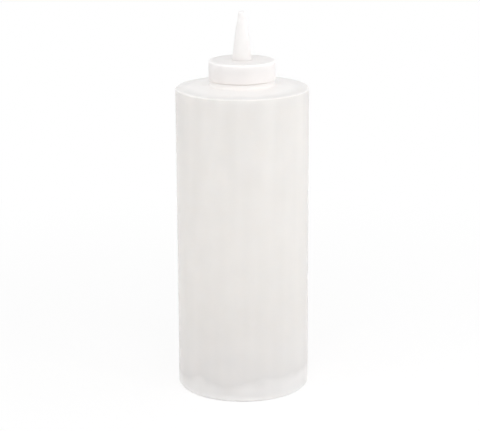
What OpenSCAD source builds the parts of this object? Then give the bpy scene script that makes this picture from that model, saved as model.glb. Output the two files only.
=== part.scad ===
// Squeeze bottle for sauces, with a screw cap that carries a cone spout.
// Millimetres, +Z up. The origin is the centre of the base, on the table.

/* [Body] */
// Outside diameter of the body
body_d = 82.5; // [72:0.5:95]
// Height of the shoulder's outer edge above the table
body_h = 191; // [140:0.5:240]
// Wall thickness of the blown body
body_wall = 1.2; // [0.8:0.1:1.8]
// Outside radius where the side wall turns under into the base
heel_r = 2; // [1.5:0.1:5]
// Inside radius of the same corner, where the plastic is thicker
heel_inside_r = 3.5; // [1:0.1:6]
// Width of the flat ring that the bottle stands on
foot_w = 4.5; // [3:0.1:8]
// Height of the domed recess under the base
dome_h = 4; // [2:0.1:8]
// Length of the pinched weld line across the recess
weld_len = 44; // [20:1:60]
// Width of the weld line
weld_w = 1; // [0.6:0.1:2]
// How far the weld line stands out of the recess
weld_h = 0.5; // [0.3:0.05:1]
// Radius of the rounded edge between the side wall and the shoulder
shoulder_r = 1; // [0.6:0.1:5]
// Rise of the shoulder from its outer edge to the collar
shoulder_rise = 1.5; // [1:0.1:12]

/* [Neck] */
// Diameter of the collar under the cap
collar_d = 39.2; // [36.6:0.1:40]
// Height of the collar above the shoulder
collar_h = 3.4; // [2:0.1:5]
// Height of the lip above the collar
neck_h = 9.5; // [9:0.1:14]
// Bore of the neck
neck_bore_d = 31.5; // [29:0.1:32.5]
// Diameter over the crest of the neck's thread
neck_thread_d = 37.4; // [36.8:0.1:38.4]
// Radius of the fillet between the shoulder and the collar
collar_fillet_r = 1.5; // [0.4:0.1:2]
// Radius where the bore widens into the shoulder, inside
neck_inside_r = 3; // [1:0.1:4]

/* [Thread] */
// Rise of the thread in one turn
pitch = 4.233; // [3.9:0.001:4.5]
// Turns of thread on the neck, and in the cap
turns = 1.25; // [1:0.05:1.3]
// Height of the neck's thread above the neck
thread_h = 1.2; // [0.9:0.05:1.4]
// Width of the neck's thread at its root
neck_root_w = 2.3; // [2:0.05:2.5]
// Width of the neck's thread at its crest
neck_crest_w = 1.2; // [0.8:0.05:1.4]
// Width of the cap's thread at its root
cap_root_w = 2.1; // [1.8:0.05:2.2]
// Width of the cap's thread at its crest
cap_crest_w = 1; // [0.7:0.05:1.2]
// Plain neck between the lip and the start of the thread
thread_start = 1; // [0.8:0.1:1.4]
// Turn over which each end of a thread fades out, in degrees
fade = 40; // [20:5:60]

/* [Cap] */
// Wall thickness of the cap's skirt
skirt_wall = 1.7; // [1:0.1:2.5]
// How much narrower the skirt is at the top than at the bottom, on the radius
skirt_draft = 0.2; // [0:0.05:0.5]
// Gap that shows between the collar and the skirt
skirt_gap = 0.5; // [0.4:0.1:2]
// Plain skirt below the cap's thread
skirt_lead = 0.3; // [0.2:0.1:0.8]
// Thickness of the cap's top plate
plate_t = 1.6; // [1:0.1:2.5]
// Radius of the cap's upper edge
cap_edge_r = 0.8; // [0.4:0.1:1.4]
// Depth of the plug ring that enters the neck, below the plate
plug_h = 3; // [2:0.1:5]
// Wall thickness of the plug ring
plug_wall = 1; // [0.7:0.1:1.5]

/* [Spout] */
// Height of the spout above the plate
spout_h = 29.7; // [20:0.1:45]
// Diameter of the spout where it meets the plate
spout_root_d = 12.2; // [10:0.1:16]
// Diameter of the spout at its tip
spout_tip_d = 4.1; // [3.9:0.1:6]
// How far the spout's side bows out from a straight taper
spout_bow = 0.2; // [0:0.05:0.4]
// Radius of the fillet between the spout and the plate
spout_fillet_r = 2; // [0.4:0.1:3]
// Wall thickness of the spout at the plate
spout_wall = 1.4; // [1:0.1:1.8]
// Diameter of the opening in the tip
orifice_d = 2.6; // [2:0.1:3]
// Length of the straight bore below the opening
orifice_len = 4; // [2:0.1:8]

/* [Sealing washer] */
// Thickness of the washer
washer_t = 1; // [0.6:0.1:2]

/* [Clearances] */
// Radial gap between the two threads, crest to root
thread_gap = 0.25; // [0.2:0.01:0.4]
// Gap along the axis between the thread flanks that bear on each other
flank_gap = 0.15; // [0.1:0.01:0.25]
// Radial gap between the plug ring and the neck's bore
plug_gap = 0.1; // [0.05:0.01:0.3]
// Radial gap round the washer, inside and outside
washer_gap = 0.3; // [0.2:0.01:0.5]

/* [Hidden] */

$fn = 96;
ARC_STEPS = 8;       // straight steps in a rounded corner
CURVE_STEPS = 16;    // straight steps in the dome and in the spout's side
THREAD_STEP = 10;    // degrees of turn from one thread section to the next
BITE = 0.3;          // how deep a thread is rooted in its wall
SMALL_R = 0.4;       // small radius on lips and free edges
TIP_R = 0.25;        // radius on the rim of the tip

NATURAL = [0.90, 0.89, 0.87, 0.6];
WHITE = [0.96, 0.96, 0.95];
FOAM = [0.85, 0.86, 0.87];

// Radii and heights of the bottle, from the table up
body_r = body_d / 2;
foot_out_r = body_r - heel_r;
foot_in_r = foot_out_r - foot_w;
collar_r = collar_d / 2;
bore_r = neck_bore_d / 2;
neck_crest_r = neck_thread_d / 2;
neck_r = neck_crest_r - thread_h;
shoulder_top_z = body_h + shoulder_rise;
collar_top_z = shoulder_top_z + collar_h;
lip_z = collar_top_z + neck_h;

// Radii and heights of the cap, which is drawn screwed down
cap_inside_r = neck_crest_r + thread_gap;
cap_crest_r = neck_r + thread_gap;
cap_r = cap_inside_r + skirt_wall;
skirt_z = collar_top_z + skirt_gap;
plate_z = lip_z + washer_t;
cap_top_z = plate_z + plate_t;
tip_z = cap_top_z + spout_h;
plug_r = bore_r - plug_gap;
spout_root_r = spout_root_d / 2;
spout_tip_r = spout_tip_d / 2;
orifice_r = orifice_d / 2;

// Half the width of each thread at radius r
function neck_half_w(r) = (neck_root_w + (neck_crest_w - neck_root_w) * (r - neck_r) / thread_h) / 2;
function cap_half_w(r) = (cap_root_w + (cap_crest_w - cap_root_w) * (cap_inside_r - r) / thread_h) / 2;

// Start of each helix: the neck's at angle 0, the cap's where it lies just under the neck's
neck_helix_z = lip_z - thread_start - neck_root_w / 2 - turns * pitch;
helix_drop = flank_gap + max([for (r = [cap_crest_r, neck_crest_r]) neck_half_w(r) + cap_half_w(r)]);
cap_helix_z = skirt_z + skirt_lead + cap_root_w / 2;
cap_helix_angle = 360 * (cap_helix_z + helix_drop - neck_helix_z) / pitch;

function unit(v) = v / norm(v);
function reversed(list) = [for (i = [len(list) - 1 : -1 : 0]) list[i]];
function bearing(v) = atan2(v[1], v[0]);

// Angle from bearing a to bearing b, the short way round
function turn_between(a, b) = let (d = b - a) d > 180 ? d - 360 : d < -180 ? d + 360 : d;

// Corner p between points a and b, rounded to radius r, or as far as half of either side allows
function round_corner(a, p, b, r) =
    let (
        u = unit(a - p),
        v = unit(b - p),
        half = acos(u * v) / 2,
        reach = min(r / tan(half), norm(a - p) / 2, norm(b - p) / 2),
        radius = reach * tan(half),
        centre = p + unit(u + v) * radius / sin(half),
        from = bearing(p + u * reach - centre),
        sweep = turn_between(from, bearing(p + v * reach - centre))
    )
    [for (i = [0 : ARC_STEPS])
        let (a = from + sweep * i / ARC_STEPS)
        centre + radius * [cos(a), sin(a)]];

// Closed outline through corners [x, y, radius]; a radius of 0 leaves the corner sharp
function rounded(corners) =
    let (n = len(corners), at = [for (c = corners) [c[0], c[1]]])
    [for (i = [0 : n - 1])
        each corners[i][2] > 0
            ? round_corner(at[(i + n - 1) % n], at[i], at[(i + 1) % n], corners[i][2])
            : [at[i]]];

// Corners along a spherical dome over the radius r, h high, from the axis out; lift raises it all round
function dome(r, h, lift) =
    let (ball_r = (r * r + h * h) / (2 * h), edge = asin(r / ball_r))
    [for (i = [0 : CURVE_STEPS])
        let (a = edge * i / CURVE_STEPS)
        [(ball_r + lift) * sin(a), h - ball_r + (ball_r + lift) * cos(a), 0]];

// Corners up the outside of the spout, from the plate to just under the tip
function spout_side() =
    [for (i = [1 : CURVE_STEPS - 1])
        let (t = i / CURVE_STEPS, straight_r = spout_root_r + (spout_tip_r - spout_root_r) * t)
        [straight_r + spout_bow * 4 * t * (1 - t), cap_top_z + spout_h * t, 0]];

// Ribbon of thread along a helix. One wall of the section is rooted in the surface at wall_r, and the
// other stands at crest_r, inside or outside of it; the crest sinks into the surface at both ends.
module thread(wall_r, crest_r, root_w, crest_w, start_z, start_angle) {
    side = crest_r > wall_r ? 1 : -1;
    height = abs(crest_r - wall_r);
    steps = round(turns * 360 / THREAD_STEP);
    function width(h) = root_w + (crest_w - root_w) * h / height;
    function share(a) = min(1, a / fade, (turns * 360 - a) / fade);
    function rise(a) = (height + BITE / 2) * share(a) - BITE / 2;
    function section(a) =
        let (
            h = rise(a),
            low = side > 0 ? [wall_r - BITE, width(-BITE)] : [wall_r - h, width(h)],
            high = side > 0 ? [wall_r + h, width(h)] : [wall_r + BITE, width(-BITE)],
            z = start_z + pitch * a / 360,
            d = [cos(start_angle + a), sin(start_angle + a)]
        )
        [
            [low[0] * d[0], low[0] * d[1], z - low[1] / 2],
            [high[0] * d[0], high[0] * d[1], z - high[1] / 2],
            [high[0] * d[0], high[0] * d[1], z + high[1] / 2],
            [low[0] * d[0], low[0] * d[1], z + low[1] / 2]
        ];
    points = [for (i = [0 : steps]) each section(turns * 360 * i / steps)];
    sides = [for (i = [0 : steps - 1], j = [0 : 3])
        let (a = 4 * i + j, b = 4 * i + (j + 1) % 4)
        each [[a, b, b + 4], [a, b + 4, a + 4]]];
    ends = [[3, 2, 1, 0], [for (j = [0 : 3]) 4 * steps + j]];
    polyhedron(points, concat(sides, ends), convexity = 6);
}

// Section of the bottle: up the outside from the middle of the base, over the lip and down the inside
module bottle_section() {
    inner_r = body_r - body_wall;
    ceiling_z = shoulder_top_z - body_wall;
    outside = [
        each dome(foot_in_r, dome_h, 0),
        [foot_out_r + heel_r, 0, heel_r],
        [body_r, body_h, shoulder_r],
        [collar_r, shoulder_top_z, collar_fillet_r],
        [collar_r, collar_top_z, SMALL_R],
        [neck_r, collar_top_z, SMALL_R],
        [neck_r, lip_z, SMALL_R]
    ];
    inside = [
        [bore_r, lip_z, SMALL_R],
        [bore_r, ceiling_z, neck_inside_r],
        [inner_r, body_h - body_wall, shoulder_r],
        [inner_r, body_wall, heel_inside_r]
    ];
    floor_top = dome(foot_in_r, dome_h, body_wall);
    polygon(rounded(concat(outside, inside, reversed(floor_top))));
}

// Weld line left where the mould pinches the tube of plastic shut, along X under the dome
module base_weld() {
    under = dome(foot_in_r, dome_h, -weld_h);
    over = dome(foot_in_r, dome_h, body_wall / 2);
    intersection() {
        translate([-weld_len / 2, -weld_w / 2, 0])
            cube([weld_len, weld_w, dome_h + body_wall / 2]);
        rotate_extrude()
            polygon(rounded(concat(under, reversed(over))));
    }
}

module bottle() {
    color(NATURAL) union() {
        rotate_extrude() bottle_section();
        thread(neck_r, neck_crest_r, neck_root_w, neck_crest_w, neck_helix_z, 0);
        base_weld();
    }
}

module sealing_washer() {
    color(FOAM)
        rotate_extrude()
            polygon(rounded([
                [plug_r + washer_gap, lip_z, 0],
                [cap_inside_r - washer_gap, lip_z, 0],
                [cap_inside_r - washer_gap, plate_z, 0],
                [plug_r + washer_gap, plate_z, 0]
            ]));
}

// Section of the cap: up the outside of the skirt and the spout, then down the bore and the plug ring
module cap_section() {
    polygon(rounded([
        [cap_inside_r, skirt_z, SMALL_R],
        [cap_r, skirt_z, SMALL_R],
        [cap_r - skirt_draft, cap_top_z, cap_edge_r],
        [spout_root_r, cap_top_z, spout_fillet_r],
        each spout_side(),
        [spout_tip_r, tip_z, TIP_R],
        [orifice_r, tip_z, TIP_R],
        [orifice_r, tip_z - orifice_len, 0],
        [spout_root_r - spout_wall, plate_z, SMALL_R],
        [plug_r - plug_wall, plate_z, SMALL_R],
        [plug_r - plug_wall, plate_z - plug_h, 0],
        [plug_r - plug_wall / 2, plate_z - plug_h, 0],
        [plug_r, plate_z - plug_h + plug_wall, 0],
        [plug_r, plate_z, 0],
        [cap_inside_r, plate_z, washer_gap / 2]
    ]));
}

module spout_cap() {
    color(WHITE) union() {
        rotate_extrude() cap_section();
        thread(cap_inside_r, cap_crest_r, cap_root_w, cap_crest_w, cap_helix_z, cap_helix_angle);
    }
}

bottle();
sealing_washer();
spout_cap();
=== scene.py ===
"""Looks of a sauce squeeze bottle: a blown polyethylene bottle with a screw cap that carries a cone spout."""
import math

import bmesh
import bpy
from mathutils import Matrix, Vector, noise


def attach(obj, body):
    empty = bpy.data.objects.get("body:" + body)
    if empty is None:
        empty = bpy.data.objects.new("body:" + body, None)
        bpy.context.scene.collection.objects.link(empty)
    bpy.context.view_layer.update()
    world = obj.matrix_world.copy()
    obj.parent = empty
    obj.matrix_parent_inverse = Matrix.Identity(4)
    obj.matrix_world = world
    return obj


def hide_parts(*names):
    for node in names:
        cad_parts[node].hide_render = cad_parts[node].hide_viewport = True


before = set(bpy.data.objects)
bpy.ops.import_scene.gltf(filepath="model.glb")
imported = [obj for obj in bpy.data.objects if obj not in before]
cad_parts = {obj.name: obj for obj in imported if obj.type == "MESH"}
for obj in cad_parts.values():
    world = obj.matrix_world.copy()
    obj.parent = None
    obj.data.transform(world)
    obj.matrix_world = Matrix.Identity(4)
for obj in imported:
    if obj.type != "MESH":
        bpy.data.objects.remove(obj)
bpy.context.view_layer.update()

MM = 0.001

# The photograph, and the camera that fits the bottle's outline in it. The sensor's width only sets the scale.
PHOTO_WIDTH = 480
FOCAL_PX = 1727.9
SENSOR_MM = 36
CLIP_END = 20
CAMERA_AT = (-1.7 * MM, -1046.9 * MM, 390.7 * MM)
CAMERA_PITCH = math.radians(15.05)
CAMERA_ROLL = math.radians(-0.3)

# Sizes are in millimetres. Those of the bottle, cap and washer are part.scad's, unless a comment says otherwise.

# Bottle
BODY_R = 41.25
BODY_H = 191
BODY_WALL = 1.2
HEEL_R = 2
HEEL_INSIDE_R = 3.5
FOOT_IN_R = 34.75
DOME_H = 4
SHOULDER_R = 1
SHOULDER_TOP = 192.5
COLLAR_R = 19.6
# 0.45 mm above part.scad's, because the photograph shows hardly any gap below the cap
COLLAR_TOP = 196.35
COLLAR_FILLET_R = 1.5
NECK_R = 17.5
NECK_INSIDE_R = 3
BORE_R = 15.75
LIP = 205.4
# Rounding of the smaller corners, and of the collar's edge and the skirt's foot, which almost meet
SMALL_R = 0.4
EDGE_R = 0.15

# Line left by the two halves of the mould, up both sides: it is drawn here alone. Under the base it is
# pinched into part.scad's weld, whose ends slope over WELD_END. The wall is cut at PARTING_CUTS to carry it.
PARTING_HALF_W = 0.5
PARTING_H = 0.1
PARTING_CUTS = (-0.5, -0.35, -0.15, 0.15, 0.35, 0.5)
PARTING_FROM_FLOOR = 0.5
PARTING_BELOW_COLLAR = 0.3
WELD_LEN = 44
WELD_H = 0.5
WELD_END = 2

# Unevenness of the blown wall, drawn here alone, which only ever draws in: its depth, its size round the body
# and up it, and the heights over the base and under the shoulder between which it fades in
WAVE_DEPTH = 0.14
WAVE_AROUND = 26
WAVE_UP = 75
WAVE_OVER_BASE = (8, 25)
WAVE_UNDER_SHOULDER = (6, 25)

# Screw thread of the neck and of the cap. FADE is the angle over which an end sinks into the wall, down to
# THREAD_END of its height, and BITE how deep the ribbon reaches into the wall.
PITCH = 4.233
TURNS = 1.25
FADE = 40
THREAD_END = 0.01
THREAD_H = 1.2
NECK_ROOT_W, NECK_CREST_W = 2.3, 1.2
CAP_ROOT_W, CAP_CREST_W = 2.1, 1
CREST_R = 0.3
BITE = 0.3
NECK_HELIX_Z = 197.959
CAP_HELIX_Z = 197.75
CAP_HELIX_ANGLE = 125.6

# Cap and spout
CAP_INSIDE_R = 18.95
CAP_R = 20.65
SKIRT_DRAFT = 0.2
SKIRT_Z = 196.4
PLATE_Z = 206.4
CAP_TOP = 208
CAP_EDGE_R = 0.8
PLUG_R = 15.65
PLUG_WALL = 1
PLUG_H = 3
SPOUT_H = 29.7
SPOUT_ROOT_R = 6.1
SPOUT_TIP_R = 2.05
SPOUT_BOW = 0.2
SPOUT_FILLET_R = 2
SPOUT_WALL = 1.4
ORIFICE_R = 1.3
ORIFICE_LEN = 4
TIP_R = 0.25

# Washer: its play in the groove of the cap, and the rounding of its cut edges
WASHER_GAP = 0.3
WASHER_EDGE_R = 0.1

# Fineness of the meshes: steps round the bottle, in a rounding and along a curve, degrees along a thread, and
# the longest straight stretch
AROUND = 192
ROUNDING_STEPS = 6
CURVE_STEPS = 24
THREAD_STEP = 3
STRETCH = 4
# A rounding uses up less than half of the shorter side next to it
SIDE_SHARE = 0.49
# Points closer than this are one, and a cut as close as the next passes through a point
MERGE = 0.001
CUT = 0.0001
# Degrees from which a corner stays sharp
SHARP = 40

# Natural polyethylene of the bottle: colour and cover of its thin wall, and where it is thick. The thick colour
# and cover are partly real thickness and partly painted light, lifting the base, the low body, shoulder and collar
THIN_COLOUR = "faf3ee"
THICK_AND_LIT_COLOUR = "fdf4f0"
THIN_ALPHA = 0.55
THICK_AND_LIT_ALPHA = 1
# How thick the wall counts over the base, and in the low part of the body, where 1 is the neck.
# These shares are partly painted light: they make the base and the low part lighter than their shade.
BASE_SHARE = 0.75
LOW_SHARE = 0.4
# Heights between which it thins over the base and in the low part, and thickens towards the neck,
# where the whiter wall is also painted light on the shoulder and the collar under the cap
BASE_FADE = (-4, 10)
LOW_FADE = (12, 60)
NECK_FADE = (190, 192)
# The line over the base wavers by this much, at this size
WAVER = 20
WAVER_SIZE = 35
# Streaks of the parison, clouds of the wall, and how much both change its cover
STREAK_W, STREAK_LEN = 12, 200
CLOUD_SIZE = 45
UNEVEN = 0.07
BOTTLE_ROUGHNESS = (0.285, 0.36)
# How far light scatters in it, and how much of that red, green and blue go
BOTTLE_SCATTER = 6
BOTTLE_SCATTER_HUE = (1, 0.96, 0.92)

# White polyethylene of the cap, and the size of its flow marks
CAP_DARK = "eae6e4"
CAP_LIGHT = "ece8e6"
FLOW_SIZE = 9
CAP_ROUGHNESS = (0.285, 0.37)
CAP_SCATTER = 5

POLYETHYLENE_IOR = 1.51
# Grain that the moulds leave in both. The orange peel of the bottle's blasted mould is really about 0.3 mm
# wide, and the satin of the cap's mould 0.1 mm. They are drawn coarser to show.
PEEL_SIZE = 1.5
SATIN_SIZE = 1
BOTTLE_GRAIN = 0.12
CAP_GRAIN = 0.085
GRAIN_DEPTH = 0.1

# The middle range of a noise, in which nearly all of it lies, and that of two added noises
NOISE_RANGE = (0.3, 0.7)
TWO_NOISES_RANGE = (0.7, 1.3)

# Polyethylene foam of the washer: wall of its cells, the painted shade in their hollows, and their size
FOAM_WALL = "f2f2f0"
FOAM_HOLLOW_SHADE = "dededb"
FOAM_CELL = 0.5
FOAM_CELL_DEPTH = 0.1
FOAM_ROUGHNESS = 0.85
FOAM_IOR = 1.49
FOAM_SCATTER = 1

# Studio, in metres and watts. The world's level, where 1 is white, and the overhead lamp
WORLD = 0.765
OVERHEAD_AT = (0.02, -0.43, 0.58)
OVERHEAD_AIM = (0, 0, 0.1)
OVERHEAD_WIDE = 0.4
OVERHEAD = 1.15
# Softboxes on the floor: name, degrees to the right of the camera, distance, width, height, power
SOFTBOXES = (
    ("right_softbox", 48, 0.55, 0.15, 0.6, 0.7),
    ("right_fill", 100, 0.55, 0.6, 0.5, 0.78),
    ("left_softbox", -50, 0.55, 0.15, 0.6, 0.55),
    ("left_fill", -105, 1, 0.7, 0.7, 0.7),
)
# Floor: half its side, its colour under the lamps, and how white it shows instead, near the bottle and far
# from it, where the object's shadow has faded out
FLOOR_HALF = 6
FLOOR_COLOUR = "f4f4f4"
FLOOR_WHITE = (0.8, 1)
SHADOW_FADE = (0.1, 0.5)


def linear(hex_colour):
    """An sRGB hex colour such as "e8e4e0" as linear red, green, blue and alpha."""
    values = [int(hex_colour[i:i + 2], 16) / 255 for i in (0, 2, 4)]
    return tuple(v / 12.92 if v <= 0.04045 else ((v + 0.055) / 1.055) ** 2.4 for v in values) + (1,)


def add(tree, kind, inputs=None, **settings):
    """Adds a node. Settings are its properties; an input takes a value, or another node's output."""
    node = tree.nodes.new(kind)
    for name, value in settings.items():
        setattr(node, name, value)
    for name, value in (inputs or {}).items():
        if isinstance(value, bpy.types.NodeSocket):
            tree.links.new(value, node.inputs[name])
        else:
            node.inputs[name].default_value = value
    return node


def new_material(name):
    """An empty material, and its node tree."""
    material = bpy.data.materials.new(name)
    material.use_nodes = True
    material.node_tree.nodes.clear()
    return material, material.node_tree


def per(size):
    """The scale of a noise whose features are about so many millimetres across."""
    return 1 / (size * MM)


def grain(tree, place, size, strength):
    """The bump that a mould's grain leaves in the plastic."""
    bumps = add(tree, "ShaderNodeTexNoise", {"Vector": place, "Scale": per(size), "Detail": 2})
    return add(tree, "ShaderNodeBump", {
        "Height": bumps.outputs["Fac"], "Strength": strength, "Distance": GRAIN_DEPTH * MM,
    }).outputs[0]


def natural_ldpe():
    """Natural low-density polyethylene, blown: uncoloured, milky and waxy. Part of the light goes straight
    through the thin wall, the rest scatters in it; where the wall is thick, at the neck and the base, it
    is whiter and hides what is behind. That whiter wall is also painted light: it lifts the shoulder, the
    collar under the cap, the base and the low part of the body above their shade. The parison leaves
    soft streaks along the bottle."""
    material, tree = new_material("natural_ldpe_blown")
    place = add(tree, "ShaderNodeTexCoord").outputs["Object"]
    height = add(tree, "ShaderNodeSeparateXYZ", {"Vector": place}).outputs["Z"]

    # Thick wall and painted light: below a wavering line over the base, a little in the low part, and at the neck
    waver = add(tree, "ShaderNodeTexNoise", {"Vector": place, "Scale": per(WAVER_SIZE), "Detail": 2})
    line = add(tree, "ShaderNodeMath", {0: waver.outputs["Fac"], 1: -WAVER * MM, 2: height},
               operation="MULTIPLY_ADD")
    base = add(tree, "ShaderNodeMapRange", {
        "Value": line.outputs[0], "From Min": BASE_FADE[0] * MM, "From Max": BASE_FADE[1] * MM,
        "To Min": BASE_SHARE, "To Max": 0,
    }, interpolation_type="SMOOTHSTEP")
    low = add(tree, "ShaderNodeMapRange", {
        "Value": height, "From Min": LOW_FADE[0] * MM, "From Max": LOW_FADE[1] * MM,
        "To Min": LOW_SHARE, "To Max": 0,
    }, interpolation_type="SMOOTHSTEP")
    neck = add(tree, "ShaderNodeMapRange", {
        "Value": height, "From Min": NECK_FADE[0] * MM, "From Max": NECK_FADE[1] * MM,
    }, interpolation_type="SMOOTHSTEP")
    ends = add(tree, "ShaderNodeMath", {0: base.outputs[0], 1: low.outputs[0]}, operation="MAXIMUM")
    # thick carries the whiter wall: partly real thickness and partly painted light
    thick = add(tree, "ShaderNodeMath", {0: ends.outputs[0], 1: neck.outputs[0]}, operation="MAXIMUM")

    # Streaks that run up the bottle, and clouds
    along = add(tree, "ShaderNodeMapping", {"Vector": place, "Scale": (1, 1, STREAK_W / STREAK_LEN)})
    streaks = add(tree, "ShaderNodeTexNoise", {"Vector": along.outputs[0], "Scale": per(STREAK_W), "Detail": 1})
    clouds = add(tree, "ShaderNodeTexNoise", {"Vector": place, "Scale": per(CLOUD_SIZE), "Detail": 2})
    both = add(tree, "ShaderNodeMath", {0: streaks.outputs["Fac"], 1: clouds.outputs["Fac"]}, operation="ADD")
    uneven = add(tree, "ShaderNodeMapRange", {
        "Value": both.outputs[0], "From Min": TWO_NOISES_RANGE[0], "From Max": TWO_NOISES_RANGE[1],
        "To Min": 0, "To Max": 2 * UNEVEN,
    })
    cover = add(tree, "ShaderNodeMath", {0: thick.outputs[0], 1: uneven.outputs[0]}, operation="ADD",
                use_clamp=True)
    # The thick share whitens the colour and the cover: partly real thickness and partly painted light
    colour = add(tree, "ShaderNodeMix", {0: cover.outputs[0], 6: linear(THIN_COLOUR), 7: linear(THICK_AND_LIT_COLOUR)},
                 data_type="RGBA")
    alpha = add(tree, "ShaderNodeMapRange", {
        "Value": cover.outputs[0], "To Min": THIN_ALPHA, "To Max": THICK_AND_LIT_ALPHA,
    })
    roughness = add(tree, "ShaderNodeMapRange", {
        "Value": streaks.outputs["Fac"], "From Min": NOISE_RANGE[0], "From Max": NOISE_RANGE[1],
        "To Min": BOTTLE_ROUGHNESS[0], "To Max": BOTTLE_ROUGHNESS[1],
    })
    shader = add(tree, "ShaderNodeBsdfPrincipled", {
        "Base Color": colour.outputs[2],
        "Alpha": alpha.outputs[0],
        "Roughness": roughness.outputs[0],
        "Normal": grain(tree, place, PEEL_SIZE, BOTTLE_GRAIN),
        "IOR": POLYETHYLENE_IOR,
        "Subsurface Weight": 1,
        "Subsurface Radius": BOTTLE_SCATTER_HUE,
        "Subsurface Scale": BOTTLE_SCATTER * MM,
    })
    add(tree, "ShaderNodeOutputMaterial", {"Surface": shader.outputs["BSDF"]})
    return material


def white_ldpe():
    """Low-density polyethylene with a little white, injection moulded: smooth, satin and waxy, and thick enough
    that light only glows through its edges. Faint flow marks run out from the spout."""
    material, tree = new_material("white_ldpe_moulded")
    place = add(tree, "ShaderNodeTexCoord").outputs["Object"]
    flow = add(tree, "ShaderNodeTexNoise", {
        "Vector": place, "Scale": per(FLOW_SIZE), "Detail": 2, "Distortion": 0.6,
    })
    colour = add(tree, "ShaderNodeMix", {0: flow.outputs["Fac"], 6: linear(CAP_DARK), 7: linear(CAP_LIGHT)},
                 data_type="RGBA")
    roughness = add(tree, "ShaderNodeMapRange", {
        "Value": flow.outputs["Fac"], "From Min": NOISE_RANGE[0], "From Max": NOISE_RANGE[1],
        "To Min": CAP_ROUGHNESS[0], "To Max": CAP_ROUGHNESS[1],
    })
    shader = add(tree, "ShaderNodeBsdfPrincipled", {
        "Base Color": colour.outputs[2],
        "Roughness": roughness.outputs[0],
        "Normal": grain(tree, place, SATIN_SIZE, CAP_GRAIN),
        "IOR": POLYETHYLENE_IOR,
        "Subsurface Weight": 1,
        "Subsurface Radius": (1, 1, 1),
        "Subsurface Scale": CAP_SCATTER * MM,
    })
    add(tree, "ShaderNodeOutputMaterial", {"Surface": shader.outputs["BSDF"]})
    return material


def polyethylene_foam():
    """Closed-cell polyethylene foam, sliced from a sheet: matt and soft white, with cut cells in its faces, whose
    hollows carry painted shade.
    """
    material, tree = new_material("polyethylene_foam")
    place = add(tree, "ShaderNodeTexCoord").outputs["Object"]
    cells = add(tree, "ShaderNodeTexVoronoi", {"Vector": place, "Scale": per(FOAM_CELL)})
    # The cells' hollows are painted darker: painted shade in the recesses
    colour = add(tree, "ShaderNodeMix", {
        0: cells.outputs["Distance"], 6: linear(FOAM_WALL), 7: linear(FOAM_HOLLOW_SHADE),
    }, data_type="RGBA")
    bump = add(tree, "ShaderNodeBump", {
        "Height": cells.outputs["Distance"], "Strength": 0.6, "Distance": FOAM_CELL_DEPTH * MM,
    }, invert=True)
    shader = add(tree, "ShaderNodeBsdfPrincipled", {
        "Base Color": colour.outputs[2],
        "Normal": bump.outputs[0],
        "Roughness": FOAM_ROUGHNESS,
        "IOR": FOAM_IOR,
        "Subsurface Weight": 0.6,
        "Subsurface Radius": (1, 1, 1),
        "Subsurface Scale": FOAM_SCATTER * MM,
    })
    add(tree, "ShaderNodeOutputMaterial", {"Surface": shader.outputs["BSDF"]})
    return material


def outline(form, corners, closed=False):
    """A wire in the XZ plane through corners (radius, height, rounding) in mm, with its roundings cut in."""
    points = [form.verts.new((radius * MM, 0, height * MM)) for radius, height, _ in corners]
    for pair in zip(points, points[1:] + points[:1] if closed else points[1:]):
        form.edges.new(pair)
    for point, (_, _, rounding) in zip(points, corners):
        if rounding:
            sides = [edge.other_vert(point).co - point.co for edge in point.link_edges]
            reach = rounding * MM / math.tan(sides[0].angle(sides[1]) / 2)
            reach = min(reach, SIDE_SHARE * min(side.length for side in sides))
            bmesh.ops.bevel(form, geom=[point], offset=reach, affect="VERTICES", segments=ROUNDING_STEPS,
                            profile=0.5, material=-1)


def turn(form):
    """Spins the wires of a form all the way round the Z axis, and closes what lies on the axis."""
    bmesh.ops.spin(form, geom=form.verts[:] + form.edges[:], cent=(0, 0, 0), axis=(0, 0, 1),
                   angle=math.tau, steps=AROUND, use_merge=True)
    bmesh.ops.remove_doubles(form, verts=form.verts, dist=MERGE * MM)
    bmesh.ops.recalc_face_normals(form, faces=form.faces)


def dome(lift):
    """Corners along the dome under the bottle, from the axis out; lift raises it by a wall."""
    ball_r = (FOOT_IN_R ** 2 + DOME_H ** 2) / (2 * DOME_H)
    edge = math.asin(FOOT_IN_R / ball_r)
    angles = [edge * i / CURVE_STEPS for i in range(CURVE_STEPS + 1)]
    return [((ball_r + lift) * math.sin(angle), DOME_H - ball_r + (ball_r + lift) * math.cos(angle), 0)
            for angle in angles]


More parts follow.
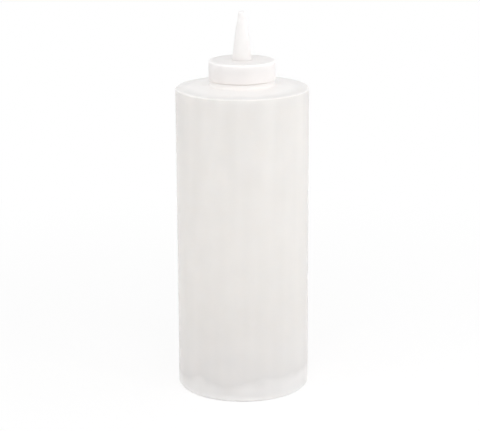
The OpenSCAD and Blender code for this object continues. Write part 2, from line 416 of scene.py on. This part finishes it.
def thread(wall_r, crest_r, root_w, crest_w, start_z, start_angle):
    """The mesh of a rounded ribbon of thread wound up the wall at wall_r, which sinks into it at both ends."""
    form = bmesh.new()
    sunk_r = wall_r - BITE if crest_r > wall_r else wall_r + BITE
    sunk_w = root_w + (root_w - crest_w) * BITE / THREAD_H
    outline(form, [
        (sunk_r, start_z - sunk_w / 2, 0),
        (crest_r, start_z - crest_w / 2, CREST_R),
        (crest_r, start_z + crest_w / 2, CREST_R),
        (sunk_r, start_z + sunk_w / 2, 0),
    ], closed=True)
    bmesh.ops.rotate(form, verts=form.verts, cent=(0, 0, 0),
                     matrix=Matrix.Rotation(math.radians(start_angle), 3, "Z"))
    steps = round(360 * TURNS / THREAD_STEP)
    rings = [form.verts[:] + form.edges[:]]
    for _ in range(steps):
        rings.append(bmesh.ops.spin(form, geom=rings[-1], cent=(0, 0, 0), axis=(0, 0, 1),
                                    angle=math.radians(THREAD_STEP), steps=1)["geom_last"])
    for step, ring in enumerate(rings):
        angle = step * THREAD_STEP
        share = max(THREAD_END, min(1, angle / FADE, (steps * THREAD_STEP - angle) / FADE))
        for v in (part for part in ring if isinstance(part, bmesh.types.BMVert)):
            radius = math.hypot(v.co.x, v.co.y)
            scale = (sunk_r * MM + (radius - sunk_r * MM) * share) / radius
            v.co = (v.co.x * scale, v.co.y * scale, v.co.z + PITCH * MM * angle / 360)
    bmesh.ops.holes_fill(form, edges=[edge for edge in form.edges if edge.is_boundary], sides=0)
    bmesh.ops.recalc_face_normals(form, faces=form.faces)
    mesh = bpy.data.meshes.new("thread")
    form.to_mesh(mesh)
    form.free()
    return mesh


def unite(form, extra):
    """A form that joins a form with a closed mesh, and leaves nothing of either inside the other."""
    mesh = bpy.data.meshes.new("form")
    form.to_mesh(mesh)
    form.free()
    pair = [bpy.data.objects.new(part.name, part) for part in (mesh, extra)]
    for part in pair:
        bpy.context.scene.collection.objects.link(part)
    union = pair[0].modifiers.new("union", "BOOLEAN")
    union.operation = "UNION"
    union.solver = "EXACT"
    union.object = pair[1]
    result = bmesh.new()
    result.from_object(pair[0], bpy.context.evaluated_depsgraph_get())
    for part in pair:
        bpy.data.objects.remove(part)
    for used in (mesh, extra):
        bpy.data.meshes.remove(used)
    return result


def finish(form, name, node, body, material):
    """Turns a form into a smooth piece that stands for a CAD node, with its real corners kept sharp."""
    bmesh.ops.recalc_face_normals(form, faces=form.faces)
    for face in form.faces:
        face.smooth = True
    for edge in form.edges:
        edge.smooth = len(edge.link_faces) == 2 and edge.calc_face_angle() < math.radians(SHARP)
    mesh = bpy.data.meshes.new(name)
    form.to_mesh(mesh)
    form.free()
    mesh.materials.append(material)
    piece = bpy.data.objects.new(name, mesh)
    bpy.context.scene.collection.objects.link(piece)
    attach(piece, body)
    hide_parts(node)
    return piece


def fade_in(value, low, high):
    """0 below low, 1 above high and a smooth step between."""
    t = min(1, max(0, (value - low) / (high - low)))
    return t * t * (3 - 2 * t)


def draw_in(form):
    """Raises the parting line and the weld on the bottle's form, and draws its wall in, in soft waves."""
    form.normal_update()
    middle = Vector((0, 0, BODY_H / 2 * MM))
    for v in form.verts:
        x, y, z = v.co / MM
        radius = math.hypot(x, y)
        outside = v.normal.dot(v.co - middle) > 0
        on_line = abs(y) < PARTING_HALF_W and PARTING_FROM_FLOOR < z < COLLAR_TOP - PARTING_BELOW_COLLAR
        if outside and on_line:
            height = PARTING_H
            if radius < FOOT_IN_R:
                height += (WELD_H - PARTING_H) * fade_in(WELD_LEN / 2 - abs(x), 0, WELD_END)
            v.co += v.normal * height * MM * (1 - (y / PARTING_HALF_W) ** 2)
        if radius > BODY_R - 2 * BODY_WALL:
            window = fade_in(z, *WAVE_OVER_BASE) * fade_in(BODY_H - z, *WAVE_UNDER_SHOULDER)
            place = Vector((x / radius * BODY_R / WAVE_AROUND, y / radius * BODY_R / WAVE_AROUND, z / WAVE_UP))
            inward = WAVE_DEPTH * window * (0.5 + 0.5 * noise.noise(place))
            v.co.x -= x / radius * inward * MM
            v.co.y -= y / radius * inward * MM


def bottle():
    form = bmesh.new()
    # The parting line reaches the full radius, and the wall beside it stays a line's height below
    outer_r = BODY_R - PARTING_H
    inner_r = outer_r - BODY_WALL
    outline(form, [
        *dome(0),
        (outer_r, 0, HEEL_R),
        (outer_r, BODY_H, SHOULDER_R),
        (COLLAR_R, SHOULDER_TOP, COLLAR_FILLET_R),
        (COLLAR_R, COLLAR_TOP, EDGE_R),
        (NECK_R, COLLAR_TOP, SMALL_R),
        (NECK_R, LIP, SMALL_R),
        (BORE_R, LIP, SMALL_R),
        (BORE_R, SHOULDER_TOP - BODY_WALL, NECK_INSIDE_R),
        (inner_r, BODY_H - BODY_WALL, SHOULDER_R),
        (inner_r, BODY_WALL, HEEL_INSIDE_R),
        *reversed(dome(BODY_WALL)),
    ])
    for edge in form.edges[:]:
        cuts = int(edge.calc_length() / (STRETCH * MM))
        if cuts:
            bmesh.ops.subdivide_edges(form, edges=[edge], cuts=cuts)
    turn(form)
    for y in PARTING_CUTS:
        bmesh.ops.bisect_plane(form, geom=form.verts[:] + form.edges[:] + form.faces[:], dist=CUT * MM,
                               plane_co=(0, y * MM, 0), plane_no=(0, 1, 0))
    draw_in(form)
    form = unite(form, thread(NECK_R, NECK_R + THREAD_H, NECK_ROOT_W, NECK_CREST_W, NECK_HELIX_Z, 0))
    return finish(form, "blown_bottle", "bottle", "bottle", natural_ldpe())


def spout_cap():
    form = bmesh.new()
    # Up the side of the spout, which bows out most half way up
    side = [i / CURVE_STEPS for i in range(1, CURVE_STEPS)]
    outline(form, [
        (CAP_INSIDE_R, SKIRT_Z, EDGE_R),
        (CAP_R, SKIRT_Z, EDGE_R),
        (CAP_R - SKIRT_DRAFT, CAP_TOP, CAP_EDGE_R),
        (SPOUT_ROOT_R, CAP_TOP, SPOUT_FILLET_R),
        *[(SPOUT_ROOT_R + (SPOUT_TIP_R - SPOUT_ROOT_R) * t + SPOUT_BOW * 4 * t * (1 - t), CAP_TOP + SPOUT_H * t, 0)
          for t in side],
        (SPOUT_TIP_R, CAP_TOP + SPOUT_H, TIP_R),
        (ORIFICE_R, CAP_TOP + SPOUT_H, TIP_R),
        (ORIFICE_R, CAP_TOP + SPOUT_H - ORIFICE_LEN, 0),
        (SPOUT_ROOT_R - SPOUT_WALL, PLATE_Z, SMALL_R),
        (PLUG_R - PLUG_WALL, PLATE_Z, SMALL_R),
        (PLUG_R - PLUG_WALL, PLATE_Z - PLUG_H, 0),
        (PLUG_R - PLUG_WALL / 2, PLATE_Z - PLUG_H, 0),
        (PLUG_R, PLATE_Z - PLUG_H + PLUG_WALL, 0),
        (PLUG_R, PLATE_Z, 0),
        (CAP_INSIDE_R, PLATE_Z, WASHER_GAP / 2),
    ], closed=True)
    turn(form)
    form = unite(form, thread(CAP_INSIDE_R, CAP_INSIDE_R - THREAD_H, CAP_ROOT_W, CAP_CREST_W, CAP_HELIX_Z,
                              CAP_HELIX_ANGLE))
    return finish(form, "moulded_spout_cap", "spout_cap", "cap", white_ldpe())


def sealing_washer():
    form = bmesh.new()
    inner_r, outer_r = PLUG_R + WASHER_GAP, CAP_INSIDE_R - WASHER_GAP
    outline(form, [
        (inner_r, LIP, WASHER_EDGE_R),
        (outer_r, LIP, WASHER_EDGE_R),
        (outer_r, PLATE_Z, WASHER_EDGE_R),
        (inner_r, PLATE_Z, WASHER_EDGE_R),
    ], closed=True)
    turn(form)
    return finish(form, "foam_washer", "sealing_washer", "seal", polyethylene_foam())


def area_lamp(name, size, place, target, power):
    """A soft lamp that the camera itself doesn't see."""
    data = bpy.data.lights.new(name, "AREA")
    data.shape = "RECTANGLE"
    data.size, data.size_y = size
    data.energy = power
    lamp = bpy.data.objects.new(name, data)
    lamp.location = place
    lamp.rotation_euler = (Vector(target) - Vector(place)).to_track_quat("-Z", "Y").to_euler()
    lamp.visible_camera = False
    bpy.context.scene.collection.objects.link(lamp)


def softbox(name, azimuth, distance, width, height, power):
    """An upright lamp that stands on the floor round the bottle, azimuth degrees to the right of the camera."""
    angle = math.radians(azimuth)
    place = Vector((distance * math.sin(angle), -distance * math.cos(angle), height / 2))
    area_lamp(name, (width, height), place, (0, 0, height / 2), power)


def seen(tree):
    """1 for what the camera sees, also in gloss and through plastic, and 0 for light on the object."""
    path = add(tree, "ShaderNodeLightPath").outputs
    direct = add(tree, "ShaderNodeMath", {0: path["Is Camera Ray"], 1: path["Is Glossy Ray"]}, operation="MAXIMUM")
    return add(tree, "ShaderNodeMath", {0: direct.outputs[0], 1: path["Is Transmission Ray"]},
               operation="MAXIMUM").outputs[0]


def floor():
    """A pale floor that shows white, and keeps a share of the object's shadow near it."""
    form = bmesh.new()
    bmesh.ops.create_grid(form, x_segments=1, y_segments=1, size=FLOOR_HALF)
    mesh = bpy.data.meshes.new("floor")
    form.to_mesh(mesh)
    form.free()
    piece = bpy.data.objects.new("floor", mesh)
    bpy.context.scene.collection.objects.link(piece)
    material, tree = new_material("white_floor")
    place = add(tree, "ShaderNodeTexCoord").outputs["Object"]
    away = add(tree, "ShaderNodeVectorMath", {0: place}, operation="LENGTH")
    clear = add(tree, "ShaderNodeMapRange", {
        "Value": away.outputs["Value"], "From Min": SHADOW_FADE[0], "From Max": SHADOW_FADE[1],
        "To Min": FLOOR_WHITE[0], "To Max": FLOOR_WHITE[1],
    }, interpolation_type="SMOOTHSTEP")
    share = add(tree, "ShaderNodeMath", {0: seen(tree), 1: clear.outputs[0]}, operation="MULTIPLY")
    white = add(tree, "ShaderNodeEmission", {"Strength": 1})
    matt = add(tree, "ShaderNodeBsdfDiffuse", {"Color": linear(FLOOR_COLOUR)})
    mix = add(tree, "ShaderNodeMixShader", {0: share.outputs[0], 1: matt.outputs[0], 2: white.outputs[0]})
    add(tree, "ShaderNodeOutputMaterial", {"Surface": mix.outputs[0]})
    mesh.materials.append(material)


def studio():
    scene = bpy.context.scene
    scene.view_settings.view_transform = "Standard"
    data = bpy.data.cameras.new("camera")
    data.lens = SENSOR_MM * FOCAL_PX / PHOTO_WIDTH
    data.sensor_width = SENSOR_MM
    data.clip_end = CLIP_END
    camera = bpy.data.objects.new("camera", data)
    camera.matrix_world = (
        Matrix.Translation(CAMERA_AT)
        @ Matrix.Rotation(math.radians(90) - CAMERA_PITCH, 4, "X")
        @ Matrix.Rotation(CAMERA_ROLL, 4, "Z")
    )
    scene.collection.objects.link(camera)
    scene.camera = camera

    world = bpy.data.worlds.new("studio")
    world.use_nodes = True
    scene.world = world
    tree = world.node_tree
    level = add(tree, "ShaderNodeMix", {0: seen(tree), 2: WORLD, 3: 1})
    around = tree.nodes["Background"]
    around.inputs["Color"].default_value = (1, 1, 1, 1)
    tree.links.new(level.outputs[0], around.inputs["Strength"])

    floor()
    area_lamp("overhead", (OVERHEAD_WIDE, OVERHEAD_WIDE), OVERHEAD_AT, OVERHEAD_AIM, OVERHEAD)
    for lamp in SOFTBOXES:
        softbox(*lamp)


studio()
bottle()
spout_cap()
sealing_washer()
